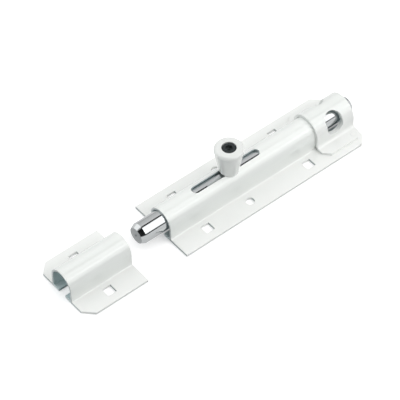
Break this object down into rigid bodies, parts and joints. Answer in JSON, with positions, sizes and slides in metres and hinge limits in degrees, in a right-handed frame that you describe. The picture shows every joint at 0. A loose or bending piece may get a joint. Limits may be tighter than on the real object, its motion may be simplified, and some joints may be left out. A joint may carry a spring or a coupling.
{
  "type": "door bolt",
  "caption": "Barrel door bolt: arched housing on a flat plate, round rod slid by a tapered knob, padlock saddle over the rear end, and a separate arched keeper.",
  "frame": {"origin": "midway between the two round fixing holes of the housing, on the mounting plane", "axes": "+X along the rod, from its nose towards its rear end, +Y across the plate, +Z away from the door"},
  "size_m": [0.2605, 0.058, 0.045],
  "materials": {
    "white_coating": "gloss",
    "plated_rod": "polished",
    "knob_coating": "gloss",
    "black_screw": "satin"
  },
  "bodies": {
    "fixed_parts": {"housing": "white_coating", "keeper": "white_coating", "padlock_saddle": "white_coating", "saddle_rivets": "white_coating"},
    "sliding_bolt": {"bolt_rod": "plated_rod", "knob": "knob_coating", "knob_screw": "black_screw"}
  },
  "joints": [
    {"name": "bolt_slide", "type": "slide", "parent": "fixed_parts", "child": "sliding_bolt", "axis": [1, 0, 0], "range_m": [-0.03, 0.024]}
  ]
}
